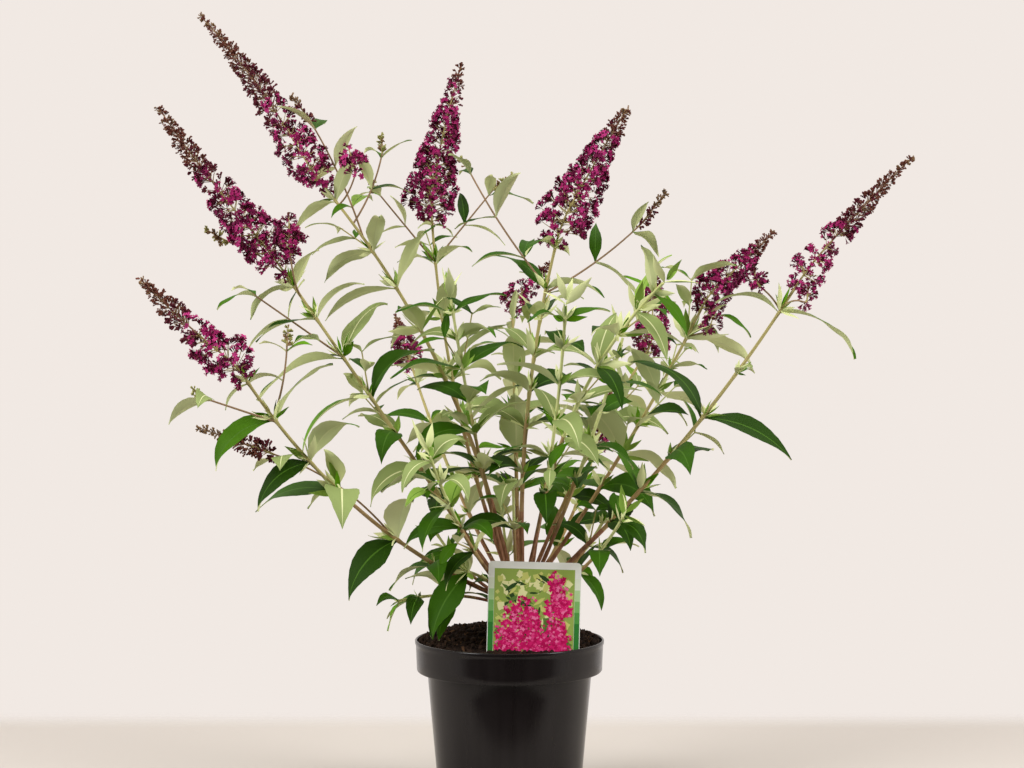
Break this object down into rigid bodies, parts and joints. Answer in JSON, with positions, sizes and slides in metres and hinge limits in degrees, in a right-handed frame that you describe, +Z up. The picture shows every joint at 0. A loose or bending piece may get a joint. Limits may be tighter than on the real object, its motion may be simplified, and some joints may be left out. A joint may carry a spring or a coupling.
{
  "type": "potted butterfly bush",
  "caption": "Butterfly bush in flower: arching canes with long pointed leaves and purple flower spikes, in a round black nursery pot with a plain picture label.",
  "frame": {"origin": "middle of the pot's flat underside", "axes": "+Z up the plant, -Y towards the viewer and the label, +X to the viewer's right"},
  "size_m": [0.719, 0.5319, 0.8116],
  "materials": {
    "pot": "satin black moulded plastic",
    "compost": "moist crumbly dark compost",
    "label": "satin printed card",
    "bark": "dull ridged bark, brown at the foot and tan above",
    "foliage": "matte leaves, green above and pale grey-green below",
    "blossom": "matte purple flowers with dark buds towards the tips"
  },
  "bodies": {
    "root": {"bough_back": "bark", "bough_back_left": "bark", "bough_back_right": "bark", "bough_centre": "bark", "bough_centre_left": "bark", "bough_far_right": "bark", "bough_front_left": "bark", "bough_front_right": "bark", "bough_front_shoot": "bark", "bough_left": "bark", "bough_left_shoot": "bark", "bough_low_left": "bark", "bough_pale_shoot": "bark", "bough_right": "bark", "bough_right_back": "bark", "bough_right_shoot": "bark", "bough_top_left": "bark", "compost": "compost", "flower_back": "blossom", "flower_back_left": "blossom", "flower_back_right": "blossom", "flower_centre": "blossom", "flower_centre_left": "blossom", "flower_far_right": "blossom", "flower_left": "blossom", "flower_low_left": "blossom", "flower_right": "blossom", "flower_right_back": "blossom", "flower_top_left": "blossom", "foliage_back": "foliage", "foliage_back_left": "foliage", "foliage_back_right": "foliage", "foliage_centre": "foliage", "foliage_centre_left": "foliage", "foliage_far_right": "foliage", "foliage_front_left": "foliage", "foliage_front_right": "foliage", "foliage_front_shoot": "foliage", "foliage_hanging_shoot": "foliage", "foliage_left": "foliage", "foliage_left_shoot": "foliage", "foliage_low_left": "foliage", "foliage_pale_shoot": "foliage", "foliage_right": "foliage", "foliage_right_back": "foliage", "foliage_right_shoot": "foliage", "foliage_rim_shoot": "foliage", "foliage_sprout_back": "foliage", "foliage_sprout_front": "foliage", "foliage_sprout_left": "foliage", "foliage_sprout_right": "foliage", "foliage_top_left": "foliage", "label": "label", "pot": "pot", "tip_pale_shoot": "foliage", "woody_crown": "bark"}
  },
  "joints": []
}
